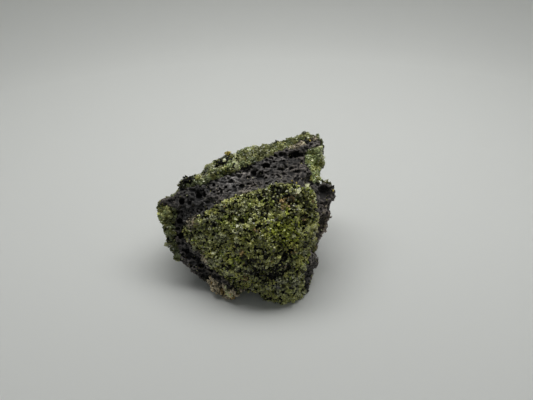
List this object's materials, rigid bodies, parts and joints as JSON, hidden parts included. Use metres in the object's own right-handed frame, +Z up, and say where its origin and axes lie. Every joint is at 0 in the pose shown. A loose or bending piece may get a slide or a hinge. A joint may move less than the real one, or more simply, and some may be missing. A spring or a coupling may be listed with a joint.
{
  "type": "peridot rock specimen",
  "caption": "Loose hand specimen of peridot: granular green olivine nodules welded in a crust of dark vesicular basalt, resting on its own flat underside.",
  "frame": {"origin": "on the surface that the stone rests on, below the middle of its outline", "axes": "+X to the right along the long way of the stone, +Y away from the side with the big olivine face, +Z up"},
  "size_m": [0.089, 0.0676, 0.0573],
  "materials": {
    "whole_stone": "matte",
    "basalt": "matte",
    "olivine": "gloss",
    "weathered_crust": "matte",
    "dark_grains": "satin"
  },
  "bodies": {
    "root": {"peridot_rock": "whole_stone"}
  },
  "joints": []
}
